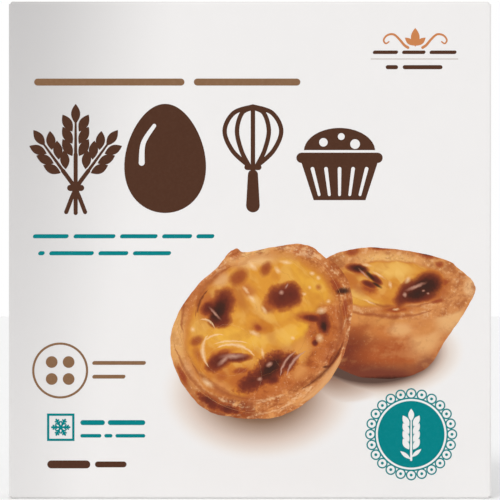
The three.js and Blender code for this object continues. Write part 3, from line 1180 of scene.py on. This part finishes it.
def rear_custard(paint, place, loose):
    """The filling, seen low across its folds, palest at the back."""
    tone = paint.washes(
        REAR_CUSTARD, place, (-3, 10.5, 9, 3, 0, 232, 178, 90), (-12, -1, 8, 2, -8, 222, 160, 66),
        (-8, 2.4, 5, 2.6, 0, 212, 138, 60), (-18, 6, 5, 5, 0, 190, 112, 52),
        (-14.5, 3, 4, 2, -30, 200, 126, 54))
    relief = paint.relief(loose, 0.16, (-1.2, 1.5), 1)
    value = paint.math("MULTIPLY_ADD", relief, 0.6, paint.noise(loose, 0.14, 1.5)[0])
    tone = paint.layered(tone, value, DEEP_CUSTARD, PALE_CUSTARD, 0.3)
    return paint.folded(tone, loose, -35, 0.4)


def rear_tart():
    paint = Picture("print_rear_tart", roughness=0.42)
    place = paint.flat_place(*REAR_TART)
    loose = paint.warped(place, 0.2, 2)
    tight = paint.warped(place, 0.8, 0.8)

    # The wall, the rim above it, and the filling.
    rim = paint.spot(loose, -1.6, 5.8, 28, 12.2, -5)
    wall, crust = rear_wall(paint, loose, tight), rear_crust(paint, loose, tight)
    tone = paint.mix(paint.fade(rim, 1.05, 0.97), wall, crust)
    inner = paint.spot(loose, -5.4, 5.5, 20, 7.8, 2)
    tone = paint.mix(paint.fade(inner, 1.08, 0.94), tone, rear_custard(paint, place, loose))
    meeting = paint.math("ABSOLUTE", paint.math("SUBTRACT", inner, 1))
    tone = paint.mix(paint.fade(meeting, 0.1, 0, 0, 0.35), tone, BAKED_EDGE)

    # Folds, and the paler and darker scorches.
    tone = paint.lay(tone, FOLD, (tight, 0.3, 0.7), paint.arcs(
        loose, (0, 32, 34.6, 2.6, 270, 19), (-3, 46, 51.6, 2.4, 268, 19)))
    tone = paint.lay(tone, TAN, (place, 0.4, 0.55), paint.spots(
        place, (-12.6, 3.8, 6, 2.8, -14), (-14, 9.4, 3.6, 1.8, -10), (14, 4, 4.4, 4, 0),
        (0, -3.4, 10, 1.6, 2)))
    tone = paint.lay(tone, BROWN, (tight, 0.9, 0.7), paint.ovals(
        place, (-16.4, 16.4, 3.4, 1.7, 8), (-7, 17.8, 4.4, 1.1), (9.2, 15.2, 5, 1.4, -12),
        (13.4, 12.2, 2, 1.5), (-10.6, 4.4, 4, 2.4, -28), (-1.4, -3.3, 5, 1.3, 4), (12.6, -0.4, 3.4, 1, 10),
        (15, 6, 2.6, 1.6, 20)))
    tone = paint.lay(tone, SCORCH, (place, 0.4, 0.35), paint.spots(
        place, (1.6, 2.2, 6.6, 3, 62), (6, 3.6, 8.4, 4.4, 14), (10, 6, 5.6, 4.6, 0), (5.4, 0.8, 9, 2.4, 7),
        (-8.2, 7, 3.2, 1.4, -40), (-10.6, 5.4, 3.2, 1.4, -25), (-14.6, 10.8, 4.8, 2, -10)))
    tone = paint.lay(tone, CHAR, (tight, 0.9, 0.5), paint.ovals(
        place, (9, 4.8, 6.4, 4.6, 12), (6, 2.2, 6.4, 2.8, 14), (-14.2, 10.8, 3.6, 1.4, -8),
        (-10.4, 8.4, 4, 1, -44), (-8, 5.2, 2.6, 0.7, -30), (-7.1, 18.2, 3.4, 0.6),
        (9, 15.8, 3.2, 0.6, -12), (-6, -27.6, 18, 2.2, 2)))

    # The light on the skin.
    tone = paint.lay(tone, GLINT, (tight, 1.2, 0.4), paint.ovals(
        tight, (-7.4, 8.6, 3.4, 0.5, -30), (-3.4, 5.2, 0.8, 1.7, 10), (-10.6, -0.6, 3, 0.5, -25),
        (2.6, 6.9, 1.1, 1.7, -30), (-1.5, -3.2, 1.5, 0.6), (-11.5, 12, 2.4, 0.7, -12)))
    tone = paint.lay(tone, DULL_GLINT, None, paint.ovals(
        tight, (5.4, 4.6, 4.6, 0.8, 22), (-12.2, 8.8, 3.4, 0.5, -45), (1.6, 1.8, 0.9, 1.1),
        (8, 3.2, 0.8, 0.6), (9.6, 2.2, 0.7, 0.5)))
    return paint.finish(tone)


def print_tarts():
    front = placed([flaky_outline(FRONT_OUTLINE)], *FRONT_TART)
    rear = placed([flaky_outline(REAR_OUTLINE)], *REAR_TART)
    ink_sheet("front_tart_print", on_front, front, front_tart())
    ink_sheet("rear_tart_print", on_front, rear, rear_tart(), front)


# ---------------------------------------------------------------- the studio

def white_backdrop():
    material = bpy.data.materials.new("white_backdrop")
    material.use_nodes = True
    tree = material.node_tree
    glow = tree.nodes.new("ShaderNodeEmission")
    tree.links.new(glow.outputs[0], tree.nodes["Material Output"].inputs["Surface"])
    return material


def pale_floor():
    paint = Paint("pale_floor", roughness=0.7)
    speck = paint.noise(paint.millimetres(), 0.01)[0]
    return paint.finish(paint.mix(speck, colour(253, 253, 253), colour(255, 255, 255)))


def make_stage():
    """A pale floor, and a white backdrop all round that the camera sees but the light ignores."""
    floor = block("studio_floor", (-FLOOR_REACH, -FLOOR_REACH, -FLOOR_THICKNESS),
                  (FLOOR_REACH, FLOOR_REACH, 0), pale_floor())
    backdrop = block("studio_backdrop", (-BACKDROP_REACH,) * 3, (BACKDROP_REACH,) * 3, white_backdrop())
    for ray in ("diffuse", "glossy", "transmission", "shadow"):
        setattr(backdrop, "visible_" + ray, False)


def make_lights():
    world = bpy.data.worlds.new("studio")
    bpy.context.scene.world = world
    world.use_nodes = True
    background = world.node_tree.nodes["Background"]
    background.inputs["Color"].default_value = (1, 1, 1, 1)
    background.inputs["Strength"].default_value = SKY_STRENGTH
    key = bpy.data.lights.new("key", "SUN")
    key.energy = SUN_ENERGY
    key.angle = math.radians(SUN_SPREAD)
    lamp = bpy.data.objects.new("key", key)
    lamp.rotation_euler = Vector(SUN_DIRECTION).to_track_quat("-Z", "Y").to_euler()
    bpy.context.scene.collection.objects.link(lamp)


def make_camera():
    data = bpy.data.cameras.new("camera")
    data.sensor_width = SENSOR_WIDTH
    data.lens = SENSOR_WIDTH * CAMERA_DISTANCE / VIEW_WIDTH
    data.clip_start = 10 * MM
    data.clip_end = 2.5 * BACKDROP_REACH * MM
    camera = bpy.data.objects.new("camera", data)
    camera.location = metres(0, -HALF_DEPTH - CAMERA_DISTANCE, HALF_HEIGHT)
    camera.rotation_euler = (math.radians(90), 0, 0)
    bpy.context.scene.collection.objects.link(camera)
    bpy.context.scene.camera = camera
    bpy.context.scene.view_settings.view_transform = "Standard"


carton = make_board()
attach(carton, BODY)
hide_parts(NODE)
inks = [ink(name, shade, paler) for name, (shade, paler) in INKS.items()]
print_front(inks)
print_tarts()
print_back(inks)
print_end("right", on_right, inks)
print_end("left", on_left, inks)
print_top(inks)
print_bottom(inks)
make_stage()
make_lights()
make_camera()
